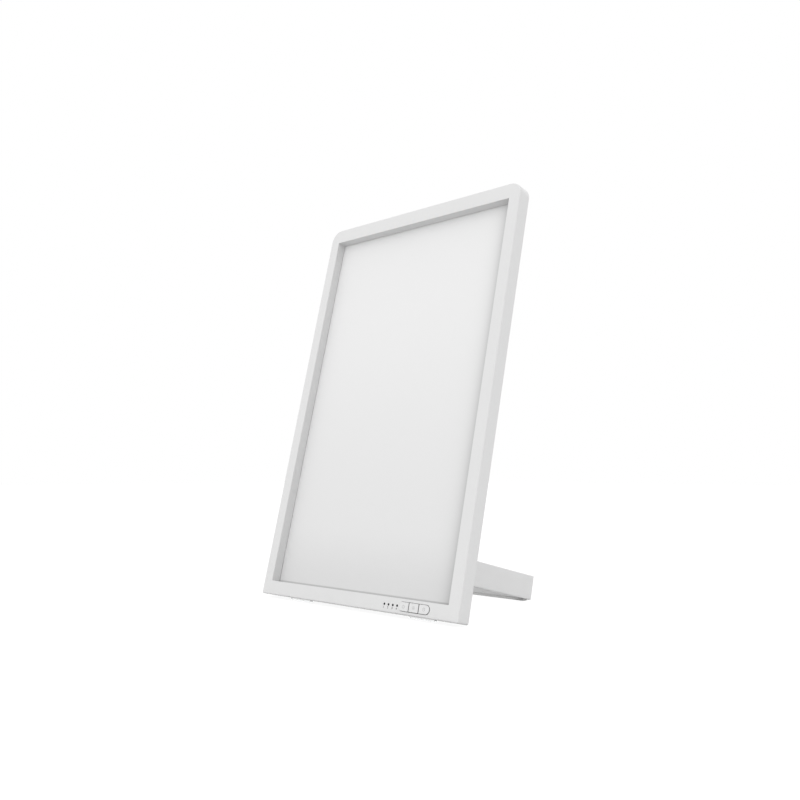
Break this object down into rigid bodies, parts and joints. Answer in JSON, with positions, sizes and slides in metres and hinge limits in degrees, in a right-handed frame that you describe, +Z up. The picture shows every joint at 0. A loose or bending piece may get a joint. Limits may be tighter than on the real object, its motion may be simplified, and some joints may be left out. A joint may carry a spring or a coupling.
{
  "type": "light therapy lamp",
  "caption": "Flat upright light therapy lamp with a deep window over an opal diffuser, a row of press keys, and a U-shaped folding stand behind.",
  "frame": {"origin": "on the table, under the middle of the lamp's bounding box", "axes": "+Z up, +Y towards the back, +X to the right as seen from the front; the window faces -Y and leans back"},
  "size_m": [0.231, 0.1553, 0.3503],
  "materials": {
    "shell": "fine matt white",
    "opal": "satin opal white",
    "clear": "clear",
    "film": "matt white",
    "aluminium": "mill",
    "board": "white solder mask",
    "switch": "matt black",
    "lens": "dark clear",
    "key": "satin white",
    "jack": "matt black",
    "steel": "bright",
    "washer": "matt dark",
    "sole": "matt light grey"
  },
  "bodies": {
    "lamp": {"bezel_frame": "shell", "diffuser": "opal", "rear_cover": "shell", "hinge_housing": "shell", "dc_jack": "jack", "hinge_pin_left": "steel", "hinge_pin_right": "steel", "foot_left": "sole", "foot_right": "sole", "light_guide": "clear", "reflector_sheet": "film", "back_plate": "aluminium", "led_strip_left": "board", "led_strip_right": "board", "driver_board": "board", "control_board": "board", "key_switch_left": "switch", "key_switch_middle": "switch", "key_switch_right": "switch", "control_screw_1": "steel", "control_screw_2": "steel", "driver_screw_1": "steel", "driver_screw_2": "steel", "driver_screw_3": "steel", "housing_screw_1": "steel", "housing_screw_2": "steel", "housing_screw_3": "steel", "housing_screw_4": "steel", "cover_screw_1": "steel", "cover_screw_2": "steel", "cover_screw_3": "steel", "cover_screw_4": "steel", "cover_screw_5": "steel", "cover_screw_6": "steel", "indicator_lens_1": "lens", "indicator_lens_2": "lens", "indicator_lens_3": "lens", "indicator_lens_4": "lens", "friction_washer_left": "washer", "friction_washer_right": "washer"},
    "stand": {"stand_bail": "shell", "stand_sole": "sole"},
    "left_key": {"key_left": "key"},
    "middle_key": {"key_middle": "key"},
    "right_key": {"key_right": "key"}
  },
  "joints": [
    {"name": "stand_fold", "type": "hinge", "parent": "lamp", "child": "stand", "pos_m": [0, -0.03921, 0.03814], "axis": [1, 0, 0], "range_deg": [0, 90]},
    {"name": "left_key_press", "type": "slide", "parent": "lamp", "child": "left_key", "axis": [0, 0.9719, -0.2355], "range_m": [0, 0.0004], "stiffness_N_per_m": 2500},
    {"name": "middle_key_press", "type": "slide", "parent": "lamp", "child": "middle_key", "axis": [0, 0.9719, -0.2355], "range_m": [0, 0.0004], "stiffness_N_per_m": 2500},
    {"name": "right_key_press", "type": "slide", "parent": "lamp", "child": "right_key", "axis": [0, 0.9719, -0.2355], "range_m": [0, 0.0004], "stiffness_N_per_m": 2500}
  ]
}
